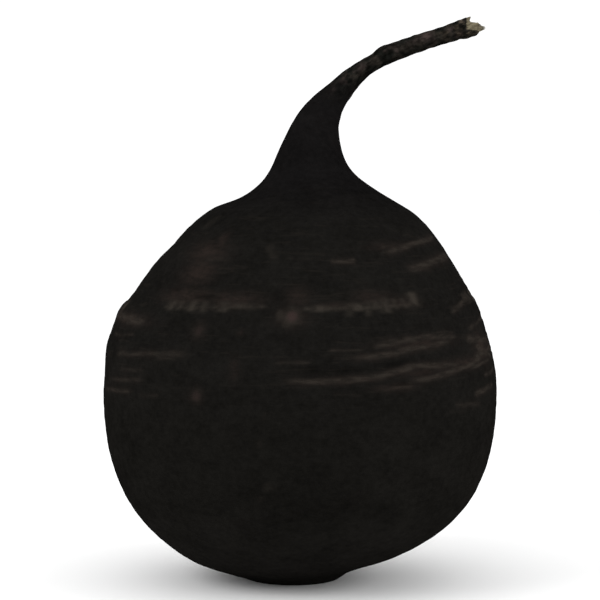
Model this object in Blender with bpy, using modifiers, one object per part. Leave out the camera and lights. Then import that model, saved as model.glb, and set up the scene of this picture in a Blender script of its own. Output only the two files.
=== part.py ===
"""A black winter radish with its taproot up, standing on the trimmed cut of its crown.

Metres, +Z up. The origin is the middle of the flat cut that the root stands on, +X is the side that the
taproot bends to, and -Y is the front.
"""

import math

import bmesh
import bpy
from mathutils import Matrix, Vector

# Widest part of the body. Every length below is drawn for a body 90 units wide, so at this size a unit is a
# millimetre.
BODY_WIDTH = 0.090
UNIT = BODY_WIDTH / 90

# What the body measures from front to back, as a share of its width at the same height.
DEPTH_SHARE = 0.97

# The root is a stack of sections. Each is a ring of this many corners, which subdivision then rounds off.
RING_CORNERS = 12
SMOOTHING_LEVELS = 2

# The body's level sections, from just under the crown's cut up to the shoulder: height, and how far the body
# reaches to the left and to the right of the middle of the cut.
BODY_SECTIONS = (
    (-2.2, 5.4, 7.2),
    (0.4, 11.4, 11.3),
    (2.5, 18.7, 13.7),
    (4.5, 23.9, 20.4),
    (9.2, 30.8, 31.2),
    (18.0, 38.7, 41.0),
    (29.8, 42.9, 45.3),
    (43.2, 43.9, 46.9),
    (56.0, 43.6, 44.8),
    (66.6, 35.8, 39.7),
    (76.2, 29.2, 34.0),
    (83.2, 21.9, 29.0),
    (87.5, 10.4, 21.2),
)

# The neck and the taproot: how far the middle of a section is to the right of the origin and above it, its
# diameter, and how many degrees the root leans over to the right there.
TAPROOT_SECTIONS = (
    (4.0, 93.2, 17.6, 2.0),
    (4.1, 99.2, 13.4, 7.0),
    (5.0, 104.2, 10.6, 18.0),
    (7.2, 108.3, 7.8, 31.0),
    (9.8, 111.1, 6.0, 38.0),
    (13.3, 114.6, 4.4, 46.0),
    (17.1, 118.0, 3.9, 56.0),
    (21.6, 120.3, 4.6, 62.0),
    (26.5, 122.0, 4.0, 69.0),
    (32.5, 124.0, 3.8, 72.0),
    (37.6, 125.7, 4.3, 73.0),
    (41.2, 126.9, 5.3, 73.0),
    (43.4, 127.3, 2.4, 75.0),
)

# The taproot also drifts backwards, slowly at first and by this much where it is torn off.
TAPROOT_DRIFT = 7.0

# Where the body grew fuller, or was pressed in by the soil: how many degrees round the body from +X by way of
# the back, the height, how far the swelling spreads, and how far it stands out, less than nothing for a dent.
SWELLINGS = (
    (62.0, 66.0, 20.0, 1.9),
    (96.0, 30.0, 24.0, -1.6),
    (128.0, 58.0, 15.0, -1.2),
    (140.0, 14.0, 15.0, 1.3),
    (228.0, 72.0, 16.0, 1.4),
    (262.0, 20.0, 20.0, -1.2),
    (285.0, 56.0, 22.0, 1.0),
    (318.0, 26.0, 17.0, 1.5),
)

# The crown and its leaves are trimmed off level. The block that stands for what was cut away is this size.
TRIM_WIDTH = 60.0
TRIM_DEPTH = 12.0

# The taproot ends in a short torn point above and a long one below. The notch between them is a wedge: where
# its inner edge is, to the right of the origin and above it, how it leans, its length and its open mouth.
NOTCH_RIGHT = 40.2
NOTCH_UP = 127.9
NOTCH_LEAN = 66.0
NOTCH_LENGTH = 9.0
NOTCH_MOUTH = 18.0
NOTCH_WIDTH = 16.0

# An equal triangle in a circle of radius 1: its length from an edge's end to the far side, and its side.
TRIANGLE_LENGTH = 1.0 + math.cos(math.radians(60.0))
TRIANGLE_SIDE = 2.0 * math.sin(math.radians(60.0))

SKIN_COLOUR = (0.0095, 0.0085, 0.0075, 1.0)
SKIN_ROUGHNESS = 0.8
FLESH_COLOUR = (0.15, 0.13, 0.088, 1.0)
FLESH_ROUGHNESS = 0.7


def clear_scene():
    """Remove whatever the file opened with."""
    for obj in list(bpy.data.objects):
        bpy.data.objects.remove(obj)


def make_collection(name, helpers=False):
    """A new collection in the scene. One that holds helpers isn't rendered."""
    collection = bpy.data.collections.new(name)
    collection.hide_render = helpers
    bpy.context.scene.collection.children.link(collection)
    return collection


def make_material(name, colour, roughness):
    """A plain material of one colour."""
    material = bpy.data.materials.new(name)
    material.use_nodes = True
    shader = material.node_tree.nodes["Principled BSDF"]
    shader.inputs["Base Color"].default_value = colour
    shader.inputs["Roughness"].default_value = roughness
    shader.inputs["Metallic"].default_value = 0.0
    material.diffuse_color = colour
    return material


def ring_angles():
    """The angles of a ring's corners, from +X by way of the back."""
    return [2 * math.pi * corner / RING_CORNERS for corner in range(RING_CORNERS)]


def corner_reach():
    """How many times further out a corner is than the smooth surface that its ring makes."""
    return 3.0 / (2.0 + math.cos(2 * math.pi / RING_CORNERS))


def swelling_at(angle, height, radius):
    """How far the swellings and dents move the body's surface at one place."""
    total = 0.0
    for degrees, level, spread, rise in SWELLINGS:
        turn = math.remainder(angle - math.radians(degrees), 2 * math.pi)
        distance = math.hypot(radius * turn, height - level) / spread
        total += rise * math.exp(-distance * distance)
    return total


def body_ring(height, left, right):
    """The corners of a level section of the body."""
    middle = (right - left) / 2
    radius = (right + left) / 2
    corners = []
    for angle in ring_angles():
        reach = radius * corner_reach() + swelling_at(angle, height, radius)
        across = middle + reach * math.cos(angle)
        back = reach * DEPTH_SHARE * math.sin(angle)
        corners.append(Vector((across, back, height)) * UNIT)
    return corners


def taproot_ring(right, up, diameter, lean, along):
    """The corners of a section square to the taproot, at a share of the way along it."""
    place = Matrix.Translation(Vector((right, TAPROOT_DRIFT * along * along, up)) * UNIT)
    turn = Matrix.Rotation(math.radians(lean), 4, "Y")
    reach = diameter / 2 * corner_reach() * UNIT
    corners = []
    for angle in ring_angles():
        corner = Vector((reach * math.cos(angle), reach * math.sin(angle), 0.0))
        corners.append(place @ turn @ corner)
    return corners


def all_rings():
    """Every ring of the cage, from below the crown's cut to the torn end."""
    rings = [body_ring(*section) for section in BODY_SECTIONS]
    last = len(TAPROOT_SECTIONS) - 1
    for index, section in enumerate(TAPROOT_SECTIONS):
        rings.append(taproot_ring(*section, along=index / last))
    return rings


def corner_order(face):
    """Which corner of a ring each point of a level face is, in the face's own order."""
    middle = face.calc_center_median()
    step = 2 * math.pi / RING_CORNERS
    turns = [math.atan2(vert.co.y - middle.y, vert.co.x - middle.x) / step for vert in face.verts]
    return [round(turn) % RING_CORNERS for turn in turns]


def shape_ring(face, ring, order):
    """Move the points of a many-sided face onto the corners of a ring."""
    for vert, corner in zip(face.verts, order):
        vert.co = ring[corner]


def make_root(collection, materials):
    """The root: a short drum whose top is extruded from section to section, and then smoothed."""
    rings = all_rings()
    cage = bmesh.new()
    bmesh.ops.create_cone(
        cage,
        cap_ends=True,
        segments=RING_CORNERS,
        radius1=BODY_WIDTH / 4,
        radius2=BODY_WIDTH / 4,
        depth=BODY_WIDTH / 4,
    )
    ends = [face for face in cage.faces if len(face.verts) == RING_CORNERS]
    bottom, top = sorted(ends, key=lambda face: face.normal.z)
    shape_ring(bottom, rings[0], corner_order(bottom))
    order = corner_order(top)
    shape_ring(top, rings[1], order)
    for ring in rings[2:]:
        top = bmesh.ops.extrude_discrete_faces(cage, faces=[top])["faces"][0]
        shape_ring(top, ring, order)
    bmesh.ops.recalc_face_normals(cage, faces=cage.faces)

    mesh = bpy.data.meshes.new("radish_root")
    cage.to_mesh(mesh)
    cage.free()
    mesh.shade_smooth()
    for material in materials:
        mesh.materials.append(material)
    root = bpy.data.objects.new("radish_root", mesh)
    collection.objects.link(root)
    smoothing = root.modifiers.new("Smooth growth", "SUBSURF")
    smoothing.levels = SMOOTHING_LEVELS
    smoothing.render_levels = SMOOTHING_LEVELS
    return root


def make_cutter(collection, name, shape, material):
    """A helper object that only cuts others, from a shape in mesh form, which it frees."""
    mesh = bpy.data.meshes.new(name)
    shape.to_mesh(mesh)
    shape.free()
    mesh.materials.append(material)
    cutter = bpy.data.objects.new(name, mesh)
    collection.objects.link(cutter)
    cutter.hide_render = True
    cutter.display_type = "WIRE"
    return cutter


def make_crown_trim(collection, material):
    """The block under the crown's cut, for all that was trimmed away with the leaves."""
    block = bmesh.new()
    bmesh.ops.create_cube(block, size=1.0)
    size = Vector((TRIM_WIDTH, TRIM_WIDTH, TRIM_DEPTH)) * UNIT
    bmesh.ops.scale(block, vec=size, verts=block.verts)
    cutter = make_cutter(collection, "crown_trim", block, material)
    cutter.location = (0.0, 0.0, -TRIM_DEPTH / 2 * UNIT)
    return cutter


def make_tear_notch(collection, material):
    """A wedge across the end of the taproot, with its edge inside the root and its open side outwards."""
    wedge = bmesh.new()
    bmesh.ops.create_cone(wedge, cap_ends=True, segments=3, radius1=1.0, radius2=1.0, depth=1.0)
    # Turned this way, the three-sided bar has an edge at -X, which becomes the notch's inner edge.
    bmesh.ops.rotate(wedge, matrix=Matrix.Rotation(math.radians(90.0), 3, "Z"), verts=wedge.verts)
    bmesh.ops.translate(wedge, vec=(1.0, 0.0, 0.0), verts=wedge.verts)
    size = Vector((NOTCH_LENGTH / TRIANGLE_LENGTH, NOTCH_MOUTH / TRIANGLE_SIDE, NOTCH_WIDTH)) * UNIT
    bmesh.ops.scale(wedge, vec=size, verts=wedge.verts)
    cutter = make_cutter(collection, "tear_notch", wedge, material)
    cutter.location = Vector((NOTCH_RIGHT, TAPROOT_DRIFT, NOTCH_UP)) * UNIT
    cutter.rotation_euler = (math.radians(90.0), math.radians(NOTCH_LEAN - 90.0), 0.0)
    return cutter


def cut(obj, cutter):
    """Take the cutter's space out of the object."""
    modifier = obj.modifiers.new(f"Cut {cutter.name}", "BOOLEAN")
    modifier.operation = "DIFFERENCE"
    modifier.solver = "EXACT"
    modifier.material_mode = "TRANSFER"
    modifier.object = cutter


def main():
    clear_scene()
    parts = make_collection("Black radish")
    cutters = make_collection("Cutters", helpers=True)
    skin = make_material("black skin", SKIN_COLOUR, SKIN_ROUGHNESS)
    flesh = make_material("cut flesh", FLESH_COLOUR, FLESH_ROUGHNESS)
    root = make_root(parts, [skin, flesh])
    cut(root, make_crown_trim(cutters, flesh))
    cut(root, make_tear_notch(cutters, flesh))


main()
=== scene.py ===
# %% [markdown]
# # A black winter radish, standing taproot up
#
# The root was pulled, its leaves were trimmed off level, and it stands on that cut with the taproot in the
# air. Its skin is a thin layer of cork, almost black, and the taproot was torn off, so a little flesh shows
# at its end. A plain solid of the root is loaded first and stays as it is: everything new goes where it says.

# %% Load the solid root
import math
import random

import bpy
import numpy as np
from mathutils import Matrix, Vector, noise


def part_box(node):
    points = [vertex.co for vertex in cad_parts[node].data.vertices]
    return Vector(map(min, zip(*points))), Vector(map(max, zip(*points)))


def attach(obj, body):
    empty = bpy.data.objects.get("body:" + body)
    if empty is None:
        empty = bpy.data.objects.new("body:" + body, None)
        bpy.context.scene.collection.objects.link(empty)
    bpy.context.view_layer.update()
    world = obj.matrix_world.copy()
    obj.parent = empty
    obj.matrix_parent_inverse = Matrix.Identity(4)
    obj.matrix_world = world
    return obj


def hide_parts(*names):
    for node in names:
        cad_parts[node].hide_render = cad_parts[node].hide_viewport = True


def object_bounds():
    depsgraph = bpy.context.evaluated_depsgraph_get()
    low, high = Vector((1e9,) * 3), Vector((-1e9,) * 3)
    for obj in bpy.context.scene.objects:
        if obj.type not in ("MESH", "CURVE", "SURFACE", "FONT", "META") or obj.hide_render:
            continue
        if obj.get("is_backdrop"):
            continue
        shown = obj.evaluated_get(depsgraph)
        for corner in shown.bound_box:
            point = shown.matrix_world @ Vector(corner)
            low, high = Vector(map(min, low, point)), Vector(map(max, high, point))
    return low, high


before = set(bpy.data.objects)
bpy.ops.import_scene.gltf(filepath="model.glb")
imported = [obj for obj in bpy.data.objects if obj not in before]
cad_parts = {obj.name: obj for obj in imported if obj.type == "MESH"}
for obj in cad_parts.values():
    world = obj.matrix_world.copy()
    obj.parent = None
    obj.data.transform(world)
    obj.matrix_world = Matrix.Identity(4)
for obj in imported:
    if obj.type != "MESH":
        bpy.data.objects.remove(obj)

# %% [markdown]
# ## Size
#
# All lengths below are drawn for a root 129 units high. The solid says how high it really is, so one division
# gives the length of a unit, about a millimetre, and the new pieces then fit the solid at any size.

# %% Measure the solid
ROOT_HEIGHT = 129.0
cad_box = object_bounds()
low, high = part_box("radish_root")
UNIT = (high.z - low.z) / ROOT_HEIGHT
bpy.ops.object.select_all(action="DESELECT")
print(f"a unit is {UNIT * 1000:.3f} mm, and the solid is {(high.x - low.x) * 1000:.1f} mm wide")

# %% [markdown]
# ## Camera
#
# A long lens from half a metre away shows the root almost without perspective, as in a picture for a shop.
# The camera is only a little above the middle of the root, so its shoulder and the underside of the taproot
# both show.

# %% Place the camera
# The lens is in millimetres, the rise in degrees and the rest in units.
CAMERA_LENS = 135.0
CAMERA_RISE = 4.0
CAMERA_DISTANCE = 515.2
LOOK_AT = Vector((1.37, 0.0, 64.1))

rise = math.radians(CAMERA_RISE)
backwards = Vector((0.0, -math.cos(rise), math.sin(rise)))
bpy.ops.object.camera_add(
    location=(LOOK_AT + backwards * CAMERA_DISTANCE) * UNIT,
    rotation=(math.radians(90.0) - rise, 0.0, 0.0),
)
camera = bpy.context.object
camera.name = "camera"
camera.data.lens = CAMERA_LENS
bpy.context.scene.camera = camera
print("camera at", [round(value, 3) for value in camera.location])

# %% [markdown]
# ## Body and taproot
#
# A radish is round but never turned on a lathe: it leans, swells and narrows. Sculpting would do it, and so
# would a spun outline with dents. Here it grows as in edit mode: a disc of 12 corners is extruded upwards,
# and at each stop its new face is moved, resized and, along the taproot, leaned over. Subdivision then rounds
# the cage off. Corners of a smoothed ring pull in, so each ring is drawn larger by a fixed share.

# %% Sections of the root
RING_CORNERS = 12
DEPTH_SHARE = 0.97
CORNER_SHARE = 3.0 / (2.0 + math.cos(2 * math.pi / RING_CORNERS))

# Height, and the reach to the left and to the right of the middle of the crown's cut.
BODY_SECTIONS = (
    (-2.2, 5.4, 7.2),
    (0.4, 11.4, 11.3),
    (2.5, 18.7, 13.7),
    (4.5, 23.9, 20.4),
    (9.2, 30.8, 31.2),
    (18.0, 38.7, 41.0),
    (29.8, 42.9, 45.3),
    (43.2, 43.9, 46.9),
    (56.0, 43.6, 44.8),
    (66.6, 35.8, 39.7),
    (76.2, 29.2, 34.0),
    (83.2, 21.9, 29.0),
    (87.5, 10.4, 21.2),
)

# How far the middle is to the right and up, the diameter, and how many degrees the root leans to the right.
TAPROOT_SECTIONS = (
    (4.0, 93.2, 17.6, 2.0),
    (4.1, 99.2, 13.4, 7.0),
    (5.0, 104.2, 10.6, 18.0),
    (7.2, 108.3, 7.8, 31.0),
    (9.8, 111.1, 6.0, 38.0),
    (13.3, 114.6, 4.4, 46.0),
    (17.1, 118.0, 3.9, 56.0),
    (21.6, 120.3, 4.6, 62.0),
    (26.5, 122.0, 4.0, 69.0),
    (32.5, 124.0, 3.8, 72.0),
    (37.6, 125.7, 4.3, 73.0),
    (41.2, 126.9, 5.3, 73.0),
    (43.4, 127.3, 2.4, 75.0),
)
TAPROOT_DRIFT = 7.0


def body_middle(section):
    height, left, right = section
    return Vector(((right - left) / 2, 0.0, height)) * UNIT


def taproot_middle(index):
    right, up = TAPROOT_SECTIONS[index][:2]
    along = index / (len(TAPROOT_SECTIONS) - 1)
    return Vector((right, TAPROOT_DRIFT * along * along, up)) * UNIT


def body_radius(section):
    return (section[1] + section[2]) / 2


print(len(BODY_SECTIONS) + len(TAPROOT_SECTIONS), "sections")

# %% Extrude the body
first = BODY_SECTIONS[0]
bpy.ops.mesh.primitive_circle_add(
    vertices=RING_CORNERS,
    radius=body_radius(first) * CORNER_SHARE * UNIT,
    fill_type="NGON",
    location=body_middle(first),
)
root = bpy.context.object
root.name = "black_radish"
bpy.ops.object.transform_apply(location=True, rotation=False, scale=False)
bpy.ops.object.mode_set(mode="EDIT")
bpy.ops.transform.resize(value=(1.0, DEPTH_SHARE, 1.0), center_override=body_middle(first))


def grow_to(here, there, wider, deeper):
    """Extrude the top face from one middle to the next, and resize it there."""
    move = {"value": there - here, "orient_type": "GLOBAL"}
    bpy.ops.mesh.extrude_region_move(TRANSFORM_OT_translate=move)
    bpy.ops.transform.resize(value=(wider, deeper, wider), center_override=there)


for below, above in zip(BODY_SECTIONS, BODY_SECTIONS[1:]):
    share = body_radius(above) / body_radius(below)
    grow_to(body_middle(below), body_middle(above), share, share)
print("the body's cage has", len(BODY_SECTIONS), "rings")

# %% Extrude the taproot
here = body_middle(BODY_SECTIONS[-1])
diameter = 2 * body_radius(BODY_SECTIONS[-1])
deeper = 1.0 / DEPTH_SHARE
lean = 0.0
for index, section in enumerate(TAPROOT_SECTIONS):
    there = taproot_middle(index)
    next_diameter, next_lean = section[2:]
    share = next_diameter / diameter
    grow_to(here, there, share, share * deeper)
    # With no window this operator turns the other way, so a lean to the right is less than nothing.
    turn = -math.radians(next_lean - lean)
    bpy.ops.transform.rotate(value=turn, orient_axis="Y", center_override=there)
    here, diameter, lean, deeper = there, next_diameter, next_lean, 1.0
bpy.ops.object.mode_set(mode="OBJECT")
print("the whole cage has", len(root.data.vertices), "corners")

# %% [markdown]
# Soil and stones pressed the growing body here and there, and it swelled where it was free. Each swelling is
# a place, a spread and a rise, and the cage's corners near it move outwards, or inwards where the rise is
# negative.

# %% Swell the body
# Degrees round the body from the right by way of the back, height, spread and rise.
SWELLINGS = (
    (62.0, 66.0, 20.0, 1.9),
    (96.0, 30.0, 24.0, -1.6),
    (128.0, 58.0, 15.0, -1.2),
    (140.0, 14.0, 15.0, 1.3),
    (228.0, 72.0, 16.0, 1.4),
    (262.0, 20.0, 20.0, -1.2),
    (285.0, 56.0, 22.0, 1.0),
    (318.0, 26.0, 17.0, 1.5),
)


def swelling_at(angle, height, radius):
    """How far the body's surface moves outwards at one place."""
    total = 0.0
    for degrees, level, spread, most in SWELLINGS:
        turned = math.remainder(angle - math.radians(degrees), 2 * math.pi)
        distance = math.hypot(radius * turned, height - level) / spread
        total += most * math.exp(-distance * distance)
    return total


for ring, section in enumerate(BODY_SECTIONS):
    middle = body_middle(section)
    for corner in root.data.vertices[ring * RING_CORNERS:(ring + 1) * RING_CORNERS]:
        angle = math.atan2(corner.co.y / DEPTH_SHARE, corner.co.x - middle.x)
        moved = swelling_at(angle, section[0], body_radius(section)) * UNIT
        corner.co += Vector((math.cos(angle), DEPTH_SHARE * math.sin(angle), 0.0)) * moved
print("moved", len(BODY_SECTIONS) * RING_CORNERS, "corners")

# %% [markdown]
# Three rounds of subdivision make the smooth form.

# %% Round the cage off
SMOOTHING_LEVELS = 3


def apply_modifier(piece, kind, **settings):
    """Add a modifier to a piece and apply it."""
    bpy.context.view_layer.objects.active = piece
    modifier = piece.modifiers.new(kind.title(), kind)
    for name, value in settings.items():
        setattr(modifier, name, value)
    bpy.ops.object.modifier_apply(modifier=modifier.name)


apply_modifier(root, "SUBSURF", levels=SMOOTHING_LEVELS, render_levels=SMOOTHING_LEVELS)
print(len(root.data.polygons), "faces after rounding off")

# %% [markdown]
# ## Following the root
#
# Cracks and wrinkles run round the root or along it, also where the taproot bends over. So each point gets a
# second place: where it would be if the taproot stood straight up. The patterns, in relief and in colour, are
# all drawn on that straightened root. The taproot is sliced by the planes of its sections, and a point
# between two planes is measured from a middle, and with a lean, that lie between theirs.

# %% Straighten the taproot
BODY_TOP = BODY_SECTIONS[-1][0]
NECK_RIGHT = TAPROOT_SECTIONS[0][0]
PAST_THE_END = 8.0


def points_of(piece):
    """The places of a piece's points, in units, one row each."""
    flat = np.empty(len(piece.data.vertices) * 3)
    piece.data.vertices.foreach_get("co", flat)
    return flat.reshape(-1, 3) / UNIT


def section_planes():
    """The middle, the lean and the length along the root of each plane across the taproot."""
    planes = [(np.array((NECK_RIGHT, 0.0, BODY_TOP)), 0.0, BODY_TOP)]
    for index, section in enumerate(TAPROOT_SECTIONS):
        middle = np.array(taproot_middle(index) / UNIT)
        length = planes[-1][2] + np.linalg.norm(middle - planes[-1][0])
        planes.append((middle, math.radians(section[3]), length))
    middle, lean, length = planes[-1]
    onwards = np.array((math.sin(lean), 0.0, math.cos(lean))) * PAST_THE_END
    return planes + [(middle + onwards, lean, length + PAST_THE_END)]


PLANES = section_planes()
ROOT_LENGTH = PLANES[-2][2]


def above_plane(points, plane):
    """How far points are past a plane across the taproot."""
    middle, lean = plane[:2]
    return (points - middle) @ np.array((math.sin(lean), 0.0, math.cos(lean)))


def straighten(points):
    """The same points on a root whose taproot stands straight up."""
    straight = points.copy()
    for lower, upper in zip(PLANES, PLANES[1:]):
        past_lower = above_plane(points, lower)
        past_upper = above_plane(points, upper)
        between = (points[:, 2] > BODY_TOP) & (past_lower >= 0) & (past_upper < 0)
        share = (past_lower / (past_lower - past_upper))[between]
        middle = lower[0] + share[:, None] * (upper[0] - lower[0])
        lean = lower[1] + share * (upper[1] - lower[1])
        offset = points[between] - middle
        straight[between, 0] = NECK_RIGHT + offset[:, 0] * np.cos(lean) - offset[:, 2] * np.sin(lean)
        straight[between, 1] = offset[:, 1]
        straight[between, 2] = lower[2] + share * (upper[2] - lower[2])
    return straight


print(f"the root is {ROOT_LENGTH:.1f} units long when straight")

# %% [markdown]
# The skin's relief needs a finer mesh, and most of all where cracks a fraction of a millimetre thick run
# round the body, at the belt of scars and at the torn end. Subdividing everything again would spend most of
# the faces elsewhere, so the edges to halve are picked by their place and direction on the straightened root.

# %% Halve the edges that need it
# What a zone is cut for, its two heights, and which of its edges are halved.
CUT_ZONES = (
    ("wrinkles", -10.0, BODY_TOP, "all"),
    ("cracks", 30.0, 82.0, "upright"),
    ("dabs and scars", 42.0, 79.0, "level"),
    ("the belt", 63.0, 67.8, "level"),
    ("the end", 136.0, 160.0, "upright"),
    ("the tear", 144.0, 160.0, "upright"),
)


def select_only(piece, kind, picked):
    """Select only some of a piece's vertices, edges or polygons, and make that the select mode."""
    kinds = ("vertices", "edges", "polygons")
    for other in kinds:
        elements = getattr(piece.data, other)
        chosen = picked if other == kind else np.zeros(len(elements), dtype=bool)
        elements.foreach_set("select", chosen)
    bpy.context.tool_settings.mesh_select_mode = [other == kind for other in kinds]
    bpy.context.view_layer.objects.active = piece


def halve_edges(piece, bottom, top, which):
    """Halve the edges between two heights: all, only the upright ones, or only the level ones."""
    points = straighten(points_of(piece))
    ends = np.empty(len(piece.data.edges) * 2, dtype=np.int32)
    piece.data.edges.foreach_get("vertices", ends)
    start, end = points[ends[0::2]], points[ends[1::2]]
    middle, along = (start + end) / 2, end - start
    steep = np.abs(along[:, 2]) > 0.5 * np.linalg.norm(along, axis=1)
    wanted = {"all": True, "upright": steep, "level": ~steep}[which]
    select_only(piece, "edges", (middle[:, 2] > bottom) & (middle[:, 2] < top) & wanted)
    bpy.ops.object.mode_set(mode="EDIT")
    bpy.ops.mesh.subdivide(number_cuts=1, smoothness=1.0)
    bpy.ops.object.mode_set(mode="OBJECT")


for zone, bottom, top, which in CUT_ZONES:
    halve_edges(root, bottom, top, which)
    print(f"halved for {zone}: {len(root.data.polygons)} faces")

# %% [markdown]
# ## Skin in relief
#
# The cork cannot stretch, so it cracked round the body as that grew, and each crack left a pale line with
# lips. The root also drew in a little as it dried, in fine wrinkles that lie round the body and lengthwise on
# the taproot. A texture could do this, but real relief catches the light at every angle. Functions say how
# strongly each mark shows at each point, vertex groups hold that as painted weights would, and Displace
# modifiers turn it into shape. The same functions later tell the colours where the marks are.

# %% Helpers for marks
# Each seed reads the noise this many sizes further on, so that no two patterns are alike.
SEED_SHIFT = 17.0


def fade(values, start, end):
    """Rises smoothly from 0 at start to 1 at end."""
    share = np.clip((values - start) / (end - start), 0.0, 1.0)
    return share * share * (3.0 - 2.0 * share)


def angles_of(points):
    """Degrees round the body from the front towards the right, on the straightened root."""
    return np.degrees(np.arctan2(points[:, 0], -points[:, 1]))


def turned_from(angle, degrees):
    """How far angles are from another one, from -180 to 180 degrees."""
    return (angle - degrees + 180.0) % 360.0 - 180.0


def noise_at(points, across, along, seed):
    """Smooth noise from -1 to 1, with its own size across the root and along it."""
    places = points / np.array((across, across, along)) + seed * SEED_SHIFT
    return np.array([noise.noise(place) for place in places.tolist()])


def press(piece, name, heights):
    """Move a piece's points along their normals by heights in units, outwards where they are above 0."""
    for part, sign in (("raised", 1.0), ("sunk", -1.0)):
        weights = np.clip(sign * heights, 0.0, None)
        most = weights.max()
        if most > 0.0:
            group = piece.vertex_groups.new(name=part)
            for index in np.nonzero(weights)[0].tolist():
                group.add((index,), weights[index] / most, "REPLACE")
            apply_modifier(piece, "DISPLACE", vertex_group=part, mid_level=0.0, strength=sign * most * UNIT)
            piece.vertex_groups.clear()
    print(f"{name}: from {heights.min():.2f} to {heights.max():.2f} units")


straight = straighten(points_of(root))
print(len(straight), "points to place on the skin")

# %% [markdown]
# A few places where the outline has a small shoulder or a hollow come first. They are too small for the cage,
# but too large to be called skin.

# %% Small shoulders and hollows
# Degrees from the front towards the right, height, spread round the body and up it, and rise.
SHOULDERS = (
    (-90.0, 84.6, 14.0, 2.0, 0.65),
    (-90.0, 77.5, 16.0, 3.0, -0.5),
    (-90.0, 61.8, 18.0, 2.6, 0.6),
    (-90.0, 48.5, 20.0, 4.0, -0.35),
    (-90.0, 96.2, 8.0, 4.0, 0.4),
    (90.0, 64.0, 16.0, 5.0, 0.35),
    (178.0, 47.0, 16.0, 8.0, -0.3),
)


def patch_at(points, degrees, level, round_it, up_it):
    """A soft patch of 1 at its middle, fading to 0, with its own spread round the body and up it."""
    radius = np.hypot(points[:, 0], points[:, 1])
    across = np.radians(turned_from(angles_of(points), degrees)) * radius
    return np.exp(-((across / round_it) ** 2 + ((points[:, 2] - level) / up_it) ** 2))


heights = sum(most * patch_at(straight, *place) for *place, most in SHOULDERS)
press(root, "shoulders", heights)

# %% [markdown]
# Growth cracks come next. Those at the front are placed one by one: half their thickness, how strongly they
# show, and the points that they pass, as degrees from the front towards the right and heights. Round the rest
# of the body, a seeded draw adds cracks of the same kind.

# %% Growth cracks
FRONT_CRACKS = (
    (0.62, 1.00, ((14, 54.6), (27, 55.1), (34, 56.1), (54, 57.1))),
    (0.62, 0.80, ((20, 56.5), (31, 57.8), (43, 58.3), (58, 57.6))),
    (0.35, 0.50, ((45, 59.2), (56, 58.9))),
    (0.42, 0.55, ((9, 56.4), (22, 56.3))),
    (0.35, 0.40, ((10, 54.8), (20, 54.7))),
    (0.45, 0.50, ((-6, 54.0), (6, 53.9))),
    (0.62, 1.00, ((-7, 50.0), (14, 50.0), (24, 50.7), (33, 52.2), (38, 52.6), (46, 52.3), (58, 51.2))),
    (0.50, 0.50, ((23, 48.1), (36, 48.3))),
    (0.62, 1.00, ((30, 49.1), (40, 49.6), (52, 50.9), (70, 52.7))),
    (0.45, 0.80, ((57, 50.6), (76, 51.8))),
    (0.85, 1.00, ((58, 57.1), (84, 55.4))),
    (0.85, 0.90, ((64, 55.4), (80, 51.8))),
    (0.70, 0.90, ((60, 53.0), (86, 54.0))),
    (0.50, 0.70, ((62, 58.8), (84, 60.8))),
    (1.60, 0.30, ((62, 56.2), (88, 54.4))),
    (0.40, 0.35, ((10, 47.1), (20, 47.0))),
    (0.35, 0.35, ((20, 47.7), (27, 47.6))),
    (0.60, 0.55, ((48, 43.3), (64, 42.9))),
    (0.70, 0.75, ((58, 44.9), (76, 46.2))),
    (0.60, 0.70, ((66, 48.4), (80, 49.4))),
    (0.50, 0.30, ((46, 42.1), (56, 41.8))),
    (0.50, 0.85, ((13, 74.7), (25, 74.7))),
    (0.55, 0.90, ((32, 75.7), (46, 76.9), (57, 78.0), (84, 79.0))),
    (0.35, 0.35, ((36, 77.4), (47, 77.8))),
    (0.75, 1.00, ((41, 72.4), (52, 72.8), (62, 73.9), (86, 74.7))),
    (0.60, 0.70, ((55, 62.6), (80, 66.8))),
    (0.95, 0.90, ((-86, 61.5), (-66, 61.1), (-52, 60.6))),
    (0.50, 0.50, ((-76, 57.2), (-56, 58.1))),
    (0.65, 0.70, ((-69, 53.3), (-50, 54.3), (-28, 55.2))),
    (0.45, 0.45, ((-45, 53.6), (-35, 54.0))),
    (0.60, 0.45, ((-64, 50.2), (-47, 50.9))),
    (0.55, 0.60, ((-74, 47.4), (-46, 48.8))),
    (0.55, 0.70, ((-80, 44.7), (-52, 46.0))),
    (0.45, 0.40, ((-52, 45.2), (-41, 45.7))),
    (0.50, 0.45, ((-39, 74.8), (-28, 75.0))),
    (0.40, 0.35, ((-31, 72.8), (-22, 72.9))),
    (0.35, 0.30, ((-4, 75.2), (7, 75.2))),
)
OTHER_CRACKS = 80
# The middle of a drawn crack keeps this many degrees away from the front.
FRONT_EDGE = 84.0
draw = random.Random(7)


def other_crack():
    """A crack somewhere out of sight from the front, mostly in the upper half of the body."""
    middle = draw.uniform(FRONT_EDGE, 360.0 - FRONT_EDGE)
    reach = draw.uniform(3.0, 17.0)
    height = draw.triangular(38.0, 80.0, 56.0)
    slope = draw.uniform(-0.07, 0.07) * reach
    bow = draw.uniform(-0.5, 0.5)
    route = ((middle - reach, height - slope), (middle, height + bow), (middle + reach, height + slope))
    return draw.uniform(0.28, 0.48), draw.uniform(0.3, 1.0), route


CRACKS = FRONT_CRACKS + tuple(other_crack() for crack in range(OTHER_CRACKS))


def along_route(points, route):
    """How high each point is above a route round the body, and the share of the way from its ends inwards."""
    degrees, heights = np.array(route, dtype=float).T
    middle = (degrees[0] + degrees[-1]) / 2
    half = (degrees[-1] - degrees[0]) / 2
    turned = turned_from(angles_of(points), middle)
    line = np.interp(turned, degrees - middle, heights)
    return points[:, 2] - line, 1.0 - np.abs(turned) / half


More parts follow.
